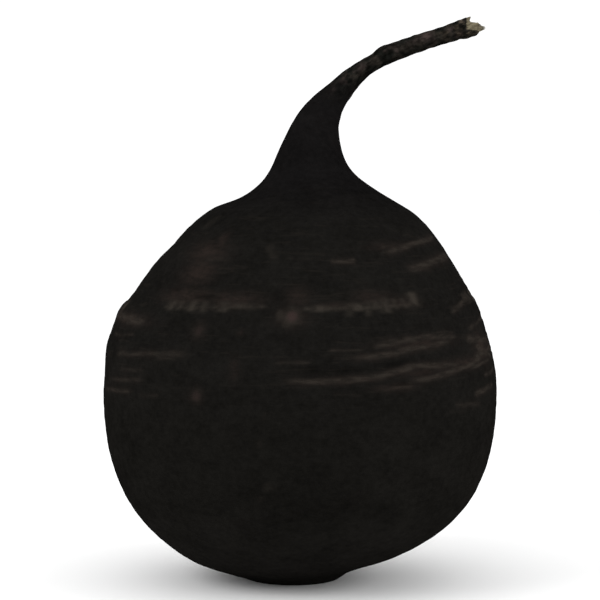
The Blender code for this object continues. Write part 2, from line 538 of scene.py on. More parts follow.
def cracks_at(points, wider=1.0):
    """How strongly the cracks show at each point, and how strongly their lips do, from 0 to 1."""
    shown, lips = np.zeros(len(points)), np.zeros(len(points))
    wander = 0.25 * noise_at(points, 5.0, 2.0, 21)
    broken = 0.82 + 0.36 * noise_at(points, 3.0, 0.8, 22)
    for thickness, strength, route in CRACKS:
        above, inwards = along_route(points, route)
        above = above + wander
        strength = strength * broken * fade(inwards, 0.0, 0.35)
        shown = np.maximum(shown, strength * np.exp(-((above / thickness / wider) ** 2)))
        lips = np.maximum(lips, strength * np.exp(-((np.abs(above) / thickness - 2.0) ** 2)))
    return shown, lips


CRACK_DEPTH = 0.17
LIP_HEIGHT = 0.08
shown, lips = cracks_at(straight)
press(root, "cracks", LIP_HEIGHT * lips - CRACK_DEPTH * shown)

# %% [markdown]
# A belt of small scars runs round the body where it starts to narrow. It marks how deep the root stood in the
# soil while it was small. The belt is a fine groove with a low ledge under it, crossed by short upright dabs
# of healed cork. At the front the dabs are placed one by one, and a seeded draw sets the others at uneven
# distances.

# %% Belt of scars
# How strongly the groove shows, and the points that it passes.
GROOVES = (
    (0.60, ((-49, 64.4), (-24, 65.0), (-8, 65.3))),
    (0.85, ((2, 64.9), (20, 64.9), (31, 65.1), (45, 65.4))),
    (0.7, ((70, 65.6), (95, 65.2), (128, 66.0))),
    (0.8, ((150, 66.4), (172, 65.8), (214, 65.0))),
    (0.6, ((228, 64.6), (250, 64.2), (282, 63.8))),
)
# Degrees from the front towards the right, the lowest and highest point, half the width in degrees, strength.
FRONT_DABS = (
    (-44.1, 64.0, 65.9, 2.0, 0.80),
    (-40.3, 64.1, 66.0, 1.4, 0.70),
    (-37.8, 64.2, 65.6, 1.2, 0.35),
    (-35.2, 64.0, 66.1, 1.8, 0.80),
    (-30.2, 64.1, 66.0, 1.6, 0.70),
    (-27.0, 64.4, 65.7, 1.3, 0.35),
    (-23.3, 64.1, 66.2, 1.9, 0.85),
    (-17.5, 64.9, 66.0, 2.6, 0.60),
    (-13.4, 64.7, 65.9, 2.2, 0.40),
    (8.5, 64.4, 65.6, 2.8, 0.90),
    (13.5, 64.5, 65.5, 1.5, 0.60),
    (17.5, 63.3, 64.9, 1.2, 0.50),
    (20.4, 64.5, 66.0, 2.8, 1.00),
    (23.7, 63.3, 64.9, 1.2, 0.55),
    (26.2, 64.6, 66.4, 2.6, 0.60),
    (30.0, 63.8, 66.9, 2.0, 0.70),
    (33.8, 64.6, 66.7, 1.2, 0.45),
    (37.2, 64.7, 66.7, 1.5, 0.50),
    (41.8, 65.2, 67.9, 2.0, 0.90),
)
FRONT_GROOVES = 2
GROOVE_DEPTH = 0.14
LEDGE_HEIGHT = 0.28


def other_dabs():
    """Dabs on the grooves that don't show from the front."""
    dabs = []
    for strength, route in GROOVES[FRONT_GROOVES:]:
        degrees, heights = zip(*route)
        place = degrees[0] + 1.0
        while place < degrees[-1]:
            line = float(np.interp(place, degrees, heights))
            reach = draw.triangular(0.1, 1.6, 0.3), draw.triangular(0.3, 2.6, 0.9)
            half_width = draw.triangular(0.9, 3.4, 1.4)
            dabs.append((place, line - reach[0], line + reach[1], half_width, draw.uniform(0.3, 0.95)))
            place += draw.triangular(1.5, 9.0, 3.0)
    return tuple(dabs)


DABS = FRONT_DABS + other_dabs()


def belt_at(points):
    """How strongly the belt shows at each point, and how far the ledge under it stands out."""
    shown, ledge = np.zeros(len(points)), np.zeros(len(points))
    uneven = noise_at(points, 1.6, 1.2, 2)
    for strength, route in GROOVES:
        above, inwards = along_route(points, route)
        strength = strength * fade(inwards, 0.0, 0.12)
        line = (0.80 + 0.25 * uneven) * np.exp(-(((above + 0.10 * uneven) / 0.36) ** 2))
        shown = np.maximum(shown, strength * line)
        ledge = np.maximum(ledge, strength * fade(above, 0.3, -0.5) * fade(above, -7.0, -1.0))
    angle = angles_of(points) + 0.25 * uneven
    up = points[:, 2]
    for degrees, bottom, top, half_width, strength in DABS:
        across = turned_from(angle, degrees) / half_width
        upwards = fade(up, bottom - 0.5, bottom + 0.3) * (1.0 - fade(up, top - 0.6, top + 0.4))
        shown = np.maximum(shown, strength * np.exp(-(across ** 2)) * upwards)
    return shown, ledge


shown, ledge = belt_at(straight)
press(root, "belt", LEDGE_HEIGHT * ledge - GROOVE_DEPTH * shown)

# %% [markdown]
# Side roots leave small round scars, and in a radish they stand in two rows, opposite each other. Here the
# front row shows a few, and the back has a row of its own. Each scar is a shallow dish with a raised rim, and
# the skin around it is pale. Where a scar has healed over, only the pale skin is left.

# %% Side-root scars
# Degrees from the front towards the right, height, radius, strength, and how pale the skin around is.
SCARS = (
    (-0.5, 63.3, 1.2, 0.76, 0.75),
    (-3.8, 63.5, 0.7, 0.0, 0.6),
    (-2.2, 62.0, 0.6, 0.0, 0.6),
    (-30.0, 60.0, 1.0, 0.18, 0.1),
    (-28.5, 46.3, 1.1, 0.28, 0.15),
    (-16.0, 59.9, 0.6, 0.15, 0.1),
    (-9.8, 77.3, 0.6, 0.0, 0.35),
    (-8.0, 76.0, 0.7, 0.0, 0.35),
    (-53.0, 82.3, 0.9, 0.0, 0.3),
    (-8.0, 42.5, 0.5, 0.0, 0.2),
    (-9.5, 36.5, 0.6, 0.0, 0.2),
    (-7.5, 27.0, 0.7, 0.0, 0.25),
    (-10.5, 24.5, 0.5, 0.0, 0.2),
    (176.0, 71.5, 1.0, 0.8, 0.5),
    (183.0, 61.5, 1.2, 1.0, 0.9),
    (178.0, 50.5, 0.9, 0.7, 0.3),
    (186.0, 38.0, 0.8, 0.5, 0.3),
    (171.0, 79.0, 0.9, 0.7, 0.5),
)
DISH_DEPTH = 0.24
RIM_HEIGHT = 0.12


def scars_at(points):
    """How strongly the scars show at each point, their rims, and the pale skin around them."""
    shown, rims, halos = np.zeros((3, len(points)))
    for degrees, level, radius, strength, paleness in SCARS:
        patch = patch_at(points, degrees, level, radius, radius)
        distance = np.sqrt(-np.log(np.clip(patch, 1e-9, 1.0)))
        shown = np.maximum(shown, strength * (1.0 - fade(distance, 0.4, 1.3)))
        rims = np.maximum(rims, strength * np.exp(-(((distance - 1.4) / 0.35) ** 2)))
        halos = np.maximum(halos, paleness * (1.0 - fade(distance, 0.9, 2.4)))
    return shown, rims, halos


shown, rims = scars_at(straight)[:2]
press(root, "scars", RIM_HEIGHT * rims - DISH_DEPTH * shown)

# %% [markdown]
# Wrinkles next. On the body they are low and lie round it. On the taproot they run lengthwise and get deeper
# towards the torn end, with low rings between them, because the thin end dried out most. Where the taproot
# turned as it grew, its upper side has knees, and a hollow between them.

# %% Wrinkles
# How far along the root, how far it spreads, and the rise.
KNEES = ((116.6, 3.4, 0.42), (123.7, 1.7, -0.44), (127.6, 1.6, 0.22), (134.8, 2.4, 0.20))

up = straight[:, 2]
on_taproot = fade(up, 94.0, 116.0)
on_neck = fade(up, 80.0, 92.0)
broad = noise_at(straight, 11.0, 9.0, 3)
level_wrinkles = noise_at(straight, 13.0, 1.5, 4) + 0.6 * noise_at(straight, 6.0, 0.9, 5)
grain = noise_at(straight, 1.9, 1.3, 6)
body_relief = 0.16 * broad + 0.06 * level_wrinkles + 0.04 * grain
press(root, "body wrinkles", (1.0 - 0.6 * on_neck) * (1.0 - on_taproot) * body_relief)

lengthwise = noise_at(straight, 0.95, 7.0, 7) + 0.5 * noise_at(straight, 0.5, 3.0, 8)
rings = noise_at(straight, 5.0, 1.1, 9)
knots = noise_at(straight, 1.6, 1.8, 10)
worn = fade(up, 108.0, ROOT_LENGTH)
taproot_relief = 0.14 * lengthwise + 0.06 * rings + (0.05 + 0.20 * worn) * knots - 0.06
on_top = fade(straight[:, 0] - NECK_RIGHT, 0.4, -1.2)
knees = on_top * sum(most * np.exp(-(((up - along) / spread) ** 2)) for along, spread, most in KNEES)
press(root, "taproot wrinkles", on_taproot * taproot_relief + knees)

# %% [markdown]
# At the very end the skin is gone: it broke off in a ragged line a little before the flesh did, further out
# on the lower side. There the surface steps down by the thickness of the skin.

# %% Ragged edge of the skin
SKIN_THICKNESS = 0.16
TORN_FROM = 147.3


def torn_at(points):
    """Where the skin is gone from the end of the taproot, from 0 to 1."""
    offset = points[:, 0] - NECK_RIGHT
    further = 0.2 * fade(offset, -1.2, -2.0) + 2.4 * fade(offset, 0.4, 1.7)
    ragged = noise_at(points, 0.9, 3.0, 12) + 0.5 * noise_at(points, 0.4, 2.0, 13)
    edge = TORN_FROM + further + 0.7 * ragged
    return fade(points[:, 2], edge - 0.15, edge + 0.15)


press(root, "torn skin", -SKIN_THICKNESS * torn_at(straight))

# %% [markdown]
# ## Cut crown and torn end
#
# The leaves and the crown were sliced off level, so a plane bisects the mesh and the hole is filled. The
# slice is then extruded in place and resized, ring by ring, towards its middle. Its rings sink a little,
# because the soft middle dries faster than the rim.

# %% Slice the crown
# Blender leaves points this near to the plane where they are, and its own setting is a tenth of a millimetre.
BISECT_THRESHOLD = 1e-7

skin = bpy.data.materials.new("black_skin")
flesh = bpy.data.materials.new("dry_flesh")
root.data.materials.append(skin)
root.data.materials.append(flesh)
select_only(root, "vertices", np.ones(len(root.data.vertices), dtype=bool))
bpy.ops.object.mode_set(mode="EDIT")
bpy.ops.mesh.bisect(
    plane_co=(0.0, 0.0, 0.0),
    plane_no=(0.0, 0.0, 1.0),
    use_fill=True,
    clear_inner=True,
    threshold=BISECT_THRESHOLD,
)
bpy.ops.object.mode_set(mode="OBJECT")
cut_face = max(root.data.polygons, key=lambda face: len(face.vertices))
cut_middle = cut_face.center.copy()
cut_radius = math.sqrt(cut_face.area / math.pi)
print(f"the cut is {cut_radius * 2000:.1f} mm across, with {len(cut_face.vertices)} corners")

# %% Ring the slice
CUT_RINGS = 14
RING_WAVES = 17.0
FLESH_INDEX = 1

select_only(root, "polygons", np.arange(len(root.data.polygons)) == cut_face.index)
bpy.ops.object.mode_set(mode="EDIT")
for left_over in range(CUT_RINGS, 1, -1):
    share = (left_over - 1) / left_over
    grow_to(cut_middle, cut_middle, share, share)
bpy.ops.mesh.poke()
bpy.ops.object.mode_set(mode="OBJECT")


def growth_rings(points):
    """The waves of the growth rings on the slice, from -1 to 1, and the share of the way to its edge."""
    place = points - np.array(cut_middle) / UNIT
    share = np.hypot(place[:, 0], place[:, 1]) * UNIT / cut_radius
    turned = np.arctan2(place[:, 1], place[:, 0])
    return np.sin(share * RING_WAVES + 1.2 * np.sin(3 * turned)), share


slice_faces = [face for face in root.data.polygons if face.center.z < BISECT_THRESHOLD]
for face in slice_faces:
    face.material_index = FLESH_INDEX
points = points_of(root)
waves, share = growth_rings(points)
sunk = fade(share, 0.90, 0.70) * (0.5 + 0.14 * waves + 0.3 * noise_at(points, 2.2, 2.2, 14))
points[:, 2] += np.where(points[:, 2] * UNIT < BISECT_THRESHOLD, sunk, 0.0)
root.data.vertices.foreach_set("co", (points * UNIT).ravel())
root.data.update()
print("the slice now has", len(slice_faces), "faces")

# %% [markdown]
# The taproot was torn off, which left a short point above and a long one below, with frayed flesh between. A
# Boolean takes a wedge out of the end. The wedge's own faces are roughened first, with ridges that run
# outwards, because the cut then takes over their shape: that is how wood and roots tear.

# %% Tear the end of the taproot
NOTCH_RIGHT = 40.2
NOTCH_UP = 127.9
NOTCH_LEAN = 66.0
NOTCH_LENGTH = 9.0
NOTCH_MOUTH = 18.0
NOTCH_WIDTH = 16.0
TRIANGLE_LENGTH = 1.0 + math.cos(math.radians(60.0))
TRIANGLE_SIDE = 2.0 * math.sin(math.radians(60.0))
WEDGE_CUTS = 47

bpy.ops.object.select_all(action="DESELECT")
bpy.ops.mesh.primitive_cylinder_add(vertices=3, radius=1.0, depth=1.0)
wedge = bpy.context.object
wedge.data.materials.append(flesh)
bpy.ops.object.mode_set(mode="EDIT")
bpy.ops.mesh.subdivide(number_cuts=WEDGE_CUTS)
bpy.ops.object.mode_set(mode="OBJECT")
for vertex in wedge.data.vertices:
    # The primitive's first corner is at the back. It turns to the left, where it is the notch's inner edge.
    x, y = -vertex.co.y, vertex.co.x
    vertex.co.x = (x + 1.0) * NOTCH_LENGTH / TRIANGLE_LENGTH
    vertex.co.y = y * NOTCH_MOUTH / TRIANGLE_SIDE
    vertex.co.z *= NOTCH_WIDTH
    ridges = noise.noise((vertex.co.x / 2.6, vertex.co.y / 2.6, vertex.co.z / 0.45))
    lumps = noise.noise((vertex.co.x / 1.1, vertex.co.y / 1.1 + 9.0, vertex.co.z / 1.1))
    vertex.co.x += 0.55 * ridges + 0.4 * lumps
    vertex.co.y += 0.35 * ridges + 0.3 * lumps
    vertex.co *= UNIT
wedge.location = Vector((NOTCH_RIGHT, TAPROOT_DRIFT, NOTCH_UP)) * UNIT
wedge.rotation_euler = (math.radians(90.0), math.radians(NOTCH_LEAN - 90.0), 0.0)
bpy.ops.object.transform_apply(location=True, rotation=True, scale=False)
apply_modifier(
    root, "BOOLEAN", operation="DIFFERENCE", solver="EXACT", material_mode="TRANSFER", object=wedge
)
bpy.data.objects.remove(wedge)
print(len(root.data.polygons), "faces with both cuts made")

# %% [markdown]
# Frayed strands lie along the tear and draw together at its two points. One strand is modelled, a thin
# six-sided cone with rings to bend at, and each copy gets its own mesh, root, length and tip from a seeded
# draw. They are drawn on the straightened root and then bent back with it.

# %% Model one strand
STRAND_SIDES = 6
STRAND_SHARES = (0.95, 0.92, 0.88, 0.80, 0.62, 0.25)

bpy.ops.object.select_all(action="DESELECT")
bpy.ops.mesh.primitive_circle_add(vertices=STRAND_SIDES, radius=1.0, fill_type="NGON")
strand = bpy.context.object
bpy.ops.object.mode_set(mode="EDIT")
step = Vector((0.0, 0.0, 1.0 / len(STRAND_SHARES)))
for ring, share in enumerate(STRAND_SHARES):
    grow_to(step * ring, step * (ring + 1), share, share)
bpy.ops.mesh.select_all(action="SELECT")
bpy.ops.mesh.normals_make_consistent(inside=False)
bpy.ops.object.mode_set(mode="OBJECT")
strand_points = np.array([vertex.co for vertex in strand.data.vertices])
print("one strand has", len(strand.data.polygons), "faces")

# %% Copy and bend the strands
STRAND_START = 147.0
# How many strands, how far below the middle they start and within what distance, how far below it they end,
# and how far along the root.
TUFTS = (
    (26, 0.5, 1.4, 1.05, 152.0),
    (7, -1.55, 0.5, -2.0, 148.9),
)


def bend_back(straight):
    """From the straightened root back to the real one."""
    middles, leans, lengths = zip(*PLANES)
    lean = np.interp(straight[:, 2], lengths, leans)
    middle = np.stack([np.interp(straight[:, 2], lengths, axis) for axis in zip(*middles)], axis=1)
    offset = straight[:, 0] - NECK_RIGHT
    return middle + np.stack([offset * np.cos(lean), straight[:, 1], -offset * np.sin(lean)], axis=1)


draw = random.Random(23)
strands = []
for count, start_below, start_spread, end_below, end_length in TUFTS:
    for number in range(count):
        turned = draw.uniform(0.0, 2 * math.pi)
        outwards = math.sqrt(draw.random())
        across, back = outwards * math.cos(turned), outwards * math.sin(turned)
        thickness = draw.uniform(0.18, 0.36)
        # A strand near the middle of its tuft reaches furthest.
        length = (end_length - STRAND_START) * (1.0 - 0.35 * outwards * draw.random())
        points = strand_points * np.array((thickness, thickness, length))
        gathered = (points[:, 2] / (end_length - STRAND_START)) ** 1.6
        start, end = start_below + start_spread * across, end_below + 0.2 * across
        points[:, 0] += NECK_RIGHT + start + (end - start) * gathered
        points[:, 1] += back * start_spread * (1.0 - 0.8 * gathered)
        points[:, 2] += STRAND_START
        copy = strand.copy()
        copy.data = strand.data.copy()
        bpy.context.scene.collection.objects.link(copy)
        copy.data.vertices.foreach_set("co", (bend_back(points) * UNIT).ravel())
        strands.append(copy)
bpy.data.objects.remove(strand)

bpy.ops.object.select_all(action="DESELECT")
for copy in strands:
    copy.select_set(True)
bpy.context.view_layer.objects.active = strands[0]
bpy.ops.object.join()
fibres = bpy.context.object
fibres.name = "torn_strands"
fibres.data.materials.append(flesh)
print(len(strands), "strands with", len(fibres.data.polygons), "faces")

# %% [markdown]
# ## Numbers for the finish
#
# The colours need to know where the cracks, scars and reddish patches are. The relief moved the points a
# little and the cuts added new ones, so the straightened places are worked out once more, and then stored on
# the mesh as attributes, which the materials can read.

# %% Store places and marks
RINGS_BELOW = 1.5
# Degrees from the front towards the right, height, spread round the body and up it, and strength.
BLUSHES = (
    (-40.0, 66.9, 7.0, 1.7, 1.0),
    (-20.0, 66.6, 6.0, 1.5, 0.9),
    (1.5, 67.2, 2.6, 2.0, 0.7),
    (14.0, 65.4, 5.0, 0.9, 0.6),
    (26.0, 67.0, 4.5, 1.5, 0.7),
    (36.5, 65.8, 4.5, 1.3, 0.7),
    (38.0, 57.0, 10.0, 1.2, 0.8),
    (-39.0, 76.0, 5.0, 2.2, 1.0),
    (-34.0, 78.8, 1.2, 1.6, 1.0),
    (-38.5, 72.0, 4.4, 2.8, 1.0),
    (-64.0, 61.0, 8.0, 1.4, 0.9),
    (-0.5, 63.1, 3.2, 2.0, 0.7),
    (-30.0, 60.0, 1.8, 1.8, 0.55),
    (-28.5, 46.3, 1.7, 1.7, 0.6),
    (-17.0, 52.2, 1.2, 2.4, 0.5),
    (41.0, 77.5, 5.0, 0.9, 0.7),
    (40.0, 51.0, 9.0, 1.1, 0.7),
    (58.0, 52.0, 9.0, 1.4, 0.9),
    (70.0, 54.5, 5.0, 3.4, 1.0),
    (29.0, 48.2, 5.0, 0.9, 0.8),
    (150.0, 69.0, 14.0, 3.0, 0.9),
    (-150.0, 58.0, 11.0, 2.5, 0.8),
    (110.0, 74.0, 9.0, 3.0, 0.8),
)
# The same for painted shade: darker patches in the crevices beside the cracks and the belt, and a broad,
# faint one over the lower middle of the front.
PAINTED_SHADE_PATCHES = (
    (2.0, 26.0, 13.0, 15.0, 0.3),
    (16.0, 52.3, 4.5, 0.7, 0.9),
    (29.0, 53.2, 4.5, 0.7, 0.9),
    (32.0, 48.8, 3.4, 0.5, 0.8),
    (39.0, 50.9, 2.0, 0.5, 0.6),
    (5.0, 52.2, 3.0, 0.9, 0.5),
    (40.6, 60.6, 3.5, 0.9, 0.5),
    (-31.5, 67.0, 2.8, 0.5, 0.9),
    (-46.0, 68.1, 1.8, 0.5, 0.7),
    (160.0, 67.6, 3.5, 0.6, 0.8),
    (-120.0, 60.5, 4.0, 0.7, 0.7),
)
# The same on the taproot: how far along the root, how far below its middle, the spreads, and strength.
TAPROOT_BLUSHES = (
    (112.6, -1.6, 1.2, 0.9, 0.5),
    (115.8, -1.3, 0.9, 0.6, 0.5),
    (120.9, -0.6, 1.2, 0.9, 0.6),
    (129.9, -0.7, 0.7, 0.8, 0.5),
    (137.4, -0.9, 1.5, 1.0, 1.0),
    (138.6, 0.4, 0.8, 1.0, 0.5),
    (143.2, -0.9, 1.0, 0.7, 0.6),
    (145.0, 0.9, 1.1, 0.6, 0.7),
)


def store(piece, name, values, kind="FLOAT"):
    """Keep one number, or one vector, for each point of a piece."""
    attribute = piece.data.attributes.new(name, kind, "POINT")
    attribute.data.foreach_set("value" if kind == "FLOAT" else "vector", values.astype(np.float32).ravel())


def patches_at(points, patches):
    """How strongly the strongest of some soft patches shows at each point."""
    return np.max([strength * patch_at(points, *place) for *place, strength in patches], axis=0)


points = points_of(root)
straight = straighten(points)
# The rust along a crack is wider than the crack, and a faint crack has hardly any.
rust = 0.8 * cracks_at(straight, wider=1.9)[0] ** 1.6
pink = np.zeros(len(straight))
for along, below, spread_along, spread_across, strength in TAPROOT_BLUSHES:
    further = (straight[:, 2] - along) / spread_along
    lower = (straight[:, 0] - NECK_RIGHT - below) / spread_across
    pink = np.maximum(pink, strength * np.exp(-(further ** 2) - lower ** 2))

marks = {
    "rings": np.where(points[:, 2] < RINGS_BELOW, 0.5 - 0.5 * growth_rings(points)[0], 0.0),
    "cracks": cracks_at(straight)[0],
    "pink": pink,
    "belt": belt_at(straight)[0],
    "scars": scars_at(straight)[0],
    "halos": scars_at(straight)[2],
    "blush": np.maximum(rust, patches_at(straight, BLUSHES)),
    # Painted shade beside the cracks and the belt, and over the lower middle of the front.
    "painted_shade": patches_at(straight, PAINTED_SHADE_PATCHES),
    "torn": torn_at(straight),
}
for name, values in marks.items():
    store(root, name, values)
store(root, "straight", straight * UNIT, "FLOAT_VECTOR")
store(fibres, "straight", straighten(points_of(fibres)) * UNIT, "FLOAT_VECTOR")
print("stored the places of", len(straight), "points and", len(marks), "kinds of mark")

# %% [markdown]
# ## Writing shader maths as Python
#
# A node tree for a natural skin is mostly arithmetic: this noise times that mask, plus a little of the third.
# With nodes drawn by hand that soon turns into a tangle. A small class wraps a node's output and gives it
# Python's operators, so that an expression adds its own Math nodes.

# %% A number in a shader
class Number:
    """A node's output that Python's operators work on."""

    def __init__(self, socket):
        self.socket = socket

    def math(self, operation, first, second):
        """Add a Math node and wrap what it gives."""
        node = self.socket.id_data.nodes.new("ShaderNodeMath")
        node.operation = operation
        for place, value in zip(node.inputs, (first, second)):
            if isinstance(value, Number):
                self.socket.id_data.links.new(value.socket, place)
            else:
                place.default_value = value
        return Number(node.outputs[0])

    def __add__(self, other):
        return self.math("ADD", self, other)

    def __radd__(self, other):
        return self.math("ADD", other, self)

    def __sub__(self, other):
        return self.math("SUBTRACT", self, other)

    def __rsub__(self, other):
        return self.math("SUBTRACT", other, self)

    def __mul__(self, other):
        return self.math("MULTIPLY", self, other)

    def __rmul__(self, other):
        return self.math("MULTIPLY", other, self)


print("Number knows", [name for name in vars(Number) if name.startswith("__r")])

# %% A finish
class Finish:
    """A material whose nodes are added one call at a time."""

    def __init__(self, material):
        material.use_nodes = True
        self.tree = material.node_tree
        self.surface = self.tree.nodes["Principled BSDF"]

    def plug(self, place, value):
        """Link or set one socket."""
        if isinstance(value, Number):
            self.tree.links.new(value.socket, place)
        elif isinstance(value, bpy.types.NodeSocket):
            self.tree.links.new(value, place)
        else:
            place.default_value = value

    def node(self, kind, settings=None, sockets=None):
        """Add a node: its settings first, then the values or links of its sockets."""
        node = self.tree.nodes.new("ShaderNode" + kind)
        for name, value in (settings or {}).items():
            setattr(node, name, value)
        for name, value in (sockets or {}).items():
            self.plug(node.inputs[name], value)
        return node

    def stored(self, name, output="Fac"):
        """Something stored on the mesh."""
        return Number(self.node("Attribute", {"attribute_name": name}).outputs[output])

    def noise(self, across, along, shift, detail=2.0, roughness=0.5):
        """Noise from 0 to 1 on the straightened root, with its own size across it and along it."""
        sizes = (1 / (across * UNIT), 1 / (across * UNIT), 1 / (along * UNIT))
        place = self.node(
            "VectorMath",
            {"operation": "MULTIPLY_ADD"},
            {0: self.stored("straight", "Vector"), 1: sizes, 2: (shift, shift, shift)},
        ).outputs["Vector"]
        sockets = {"Vector": place, "Scale": 1.0, "Detail": detail, "Roughness": roughness}
        return Number(self.node("TexNoise", None, sockets).outputs["Fac"])

    def ramp(self, value, start, end):
        """Goes smoothly from 0 to 1 as a value goes from start to end."""
        sockets = {"Value": value, "From Min": start, "From Max": end}
        return Number(self.node("MapRange", {"interpolation_type": "SMOOTHSTEP"}, sockets).outputs["Result"])

    def blots(self, limits, *size, **kind):
        """Noise of some size and kind, made to go from 0 to 1 between two of its values."""
        return self.ramp(self.noise(*size, **kind), *limits)

    def mix(self, share, first, second):
        """A colour between two others."""
        return self.node("Mix", {"data_type": "RGBA"}, {0: share, 6: first, 7: second}).outputs[2]

    def shade(self, colour, share):
        """A colour made lighter or darker by a number."""
        return self.node("VectorMath", {"operation": "SCALE"}, {0: colour, "Scale": share}).outputs["Vector"]

    def bump(self, height, distance):
        """Give the surface fine relief, from a height from 0 to 1 and how far that reaches."""
        bump = self.node("Bump", None, {"Height": height, "Distance": distance * UNIT})
        self.plug(self.surface.inputs["Normal"], bump.outputs["Normal"])

    def dress(self, colour, roughness, gloss):
        """Give the surface its colour, roughness and specular level."""
        for name, value in (("Base Color", colour), ("Roughness", roughness), ("Specular IOR Level", gloss)):
            self.plug(self.surface.inputs[name], value)


print("a finish starts with its Principled BSDF")

# %% [markdown]
# ## Dry flesh
#
# The flesh comes first, because both materials need its colours. It is white when fresh and dries to cream
# and olive. Its fibres run along the root, and dirt has darkened it in patches. On the slice it is darker
# along
# the growth rings: partly their own colour, partly painted shade.

# %% Finish of the flesh
CREAM = (0.158, 0.138, 0.092, 1.0)
OLIVE = (0.078, 0.067, 0.044, 1.0)
DIRT = (0.030, 0.022, 0.016, 1.0)


def flesh_colour(finish, dirt):
    """Dry flesh with its fibres, its stains and some dirt, and the pattern of the fibres alone."""
    threads = finish.blots((0.35, 0.65), 0.35, 4.0, 3.0, detail=3.0, roughness=0.6)
    stains = finish.blots((0.45, 0.72), 1.6, 1.6, 7.0, detail=4.0, roughness=0.6)
    colour = finish.mix(threads, OLIVE, CREAM)
    return finish.mix(stains * dirt, colour, DIRT), threads


finish = Finish(flesh)
colour, threads = flesh_colour(finish, 0.6)
# Darker along the growth rings of the slice: partly their own colour, partly painted shade.
colour = finish.shade(colour, 1.0 - 0.4 * finish.stored("rings"))
finish.dress(colour, 0.75 - 0.15 * threads, 0.3)
finish.bump(threads, 0.12)
print(len(finish.tree.nodes), "nodes in the dry flesh")

# %% [markdown]
# ## Black skin
#
# Cork this dark reflects less than one per cent of the light, and it has no gloss at all: a black thing with
# even a weak gloss gets a bright rim in a white room. So the specular level is nothing, and colour does the
# work. It is built up as a near-black ground, blackest at the neck and a lighter brown at the crown, where
# the lighter brown is painted light against the shade that the floor casts round the base. The upper ground
# is a trace lighter, as painted light from above. Over it go mottling in three sizes and the fine brown lines
# that lie round the body.

# %% Ground of the skin
# The crown's lighter brown is painted light against the floor's shade round the base, and the upper ground is
# a trace lighter: painted light from above.
CROWN_BROWN_PAINTED_LIGHT = (0.0092, 0.0086, 0.0077, 1.0)
GROUND_LOW = (0.0062, 0.0058, 0.0051, 1.0)
GROUND_HIGH = (0.0063, 0.0059, 0.0053, 1.0)
NECK_BLACK = (0.0050, 0.0046, 0.0046, 1.0)
BROWN_LINE = (0.0125, 0.0107, 0.0090, 1.0)

finish = Finish(skin)
parts = finish.node("SeparateXYZ", None, {0: finish.stored("straight", "Vector")})
length = Number(parts.outputs["Z"])
low_down = finish.ramp(length, 2.0 * UNIT, 24.0 * UNIT)
upper = finish.ramp(length, 34.0 * UNIT, 58.0 * UNIT)
neck = finish.ramp(length, 80.0 * UNIT, 92.0 * UNIT)
# Painted light: lighter towards the crown and, by a trace, on the upper half.
colour = finish.mix(low_down, CROWN_BROWN_PAINTED_LIGHT, GROUND_LOW)
colour = finish.mix(upper, colour, GROUND_HIGH)
colour = finish.mix(neck, colour, NECK_BLACK)
mottle = 0.7 * finish.noise(9.0, 6.0, 3.0) + 0.8 * finish.noise(1.7, 1.3, 5.0, detail=3.0)
specks = finish.noise(0.7, 0.6, 61.0)
colour = finish.shade(colour, mottle + 0.5 * specks)

lines = finish.blots((0.54, 0.72), 8.0, 0.8, 11.0, detail=3.0, roughness=0.6)
line_zone = finish.ramp(length, 38.0 * UNIT, 56.0 * UNIT) * (1.0 - 0.9 * neck)
colour = finish.mix(lines * line_zone * 0.4, colour, BROWN_LINE)
print("ground colours mixed")

# %% [markdown]
# The placed marks follow, from the widest to the narrowest: the reddish brown patches with the rust along the
# cracks, the painted shade beside the cracks and over the lower middle, the pale cork of the cracks and the
# belt, and the side-root scars, pink in the middle with pale skin around. Noise breaks most of them up, or
# they would look painted on.

# %% Marks on the skin
RED_BROWN = (0.0166, 0.0123, 0.0105, 1.0)
PALE_CORK = (0.0300, 0.0255, 0.0208, 1.0)
SCAR_PINK = (0.0320, 0.0212, 0.0195, 1.0)

patchy = finish.blots((0.36, 0.62), 2.4, 0.9, 29.0, detail=4.0, roughness=0.6)
colour = finish.mix(finish.stored("blush") * (0.50 + 0.50 * patchy), colour, RED_BROWN)
# Painted shade: the skin is made darker beside the cracks and the belt, and over the lower middle of the
# front.
colour = finish.shade(colour, 1.0 - 0.45 * finish.stored("painted_shade"))

broken = finish.blots((0.38, 0.62), 3.0, 0.6, 17.0, detail=3.0, roughness=0.6)
cracks_shown = finish.ramp(finish.stored("cracks"), 0.05, 0.78) * (0.16 + 0.33 * broken)
colour = finish.mix(cracks_shown, colour, PALE_CORK)

flecks = finish.blots((0.34, 0.62), 2.0, 2.0, 23.0)
colour = finish.mix(finish.stored("belt") * (0.45 + 0.40 * flecks), colour, PALE_CORK)
colour = finish.mix(finish.stored("halos") * (0.28 + 0.25 * flecks), colour, PALE_CORK)
colour = finish.mix(finish.stored("scars") * 0.9, colour, SCAR_PINK)
print("marks mixed in")

# %% [markdown]
# On the taproot the black cork wore thin. Brown shows through it, in places a greyish pink or, near the end,
# tan. The underside is painted darker, with less pink and tan: painted shade, fainter near the end. Where the
# skin is gone from the torn end, the colours are those of the flesh.

# %% Taproot
TAPROOT_BLACK = (0.0046, 0.0047, 0.0040, 1.0)
TAPROOT_BROWN = (0.0122, 0.0105, 0.0087, 1.0)
TAPROOT_PINK = (0.0270, 0.0197, 0.0180, 1.0)
TAPROOT_TAN = (0.0420, 0.0335, 0.0240, 1.0)

tail = finish.ramp(length, 108.0 * UNIT, 121.0 * UNIT)
near_end = finish.ramp(length, 138.0 * UNIT, 147.5 * UNIT)
